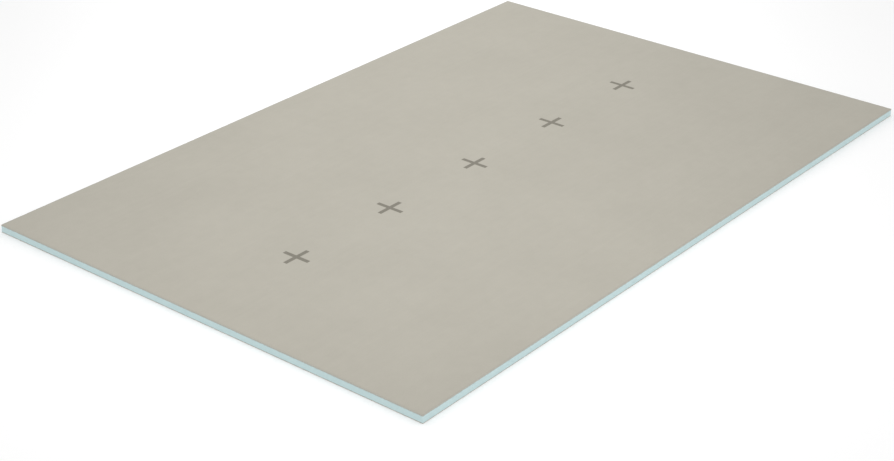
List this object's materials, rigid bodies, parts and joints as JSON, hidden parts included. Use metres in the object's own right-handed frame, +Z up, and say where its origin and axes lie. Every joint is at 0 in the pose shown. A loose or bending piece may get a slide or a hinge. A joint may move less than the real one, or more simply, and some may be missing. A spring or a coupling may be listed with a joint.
{
  "type": "foam tile backer board",
  "caption": "Rectangular tile backer board with a rigid blue foam core and a thin mesh-reinforced cement coating on each face.",
  "frame": {"origin": "centre of the underside, on the surface that the board lies on", "axes": "+X along the board's length, +Y across its width, +Z up out of the tile face"},
  "size_m": [1.2192, 0.8128, 0.0127],
  "materials": {
    "blue_foam": "pale blue extruded polystyrene, fine closed cells, sawn matt at the edges",
    "cement_coating": "matt greige polymer cement, with glass-fibre mesh faintly showing through"
  },
  "bodies": {
    "root": {"foam_core": "blue_foam", "face_coating": "cement_coating", "back_coating": "cement_coating"}
  },
  "joints": []
}
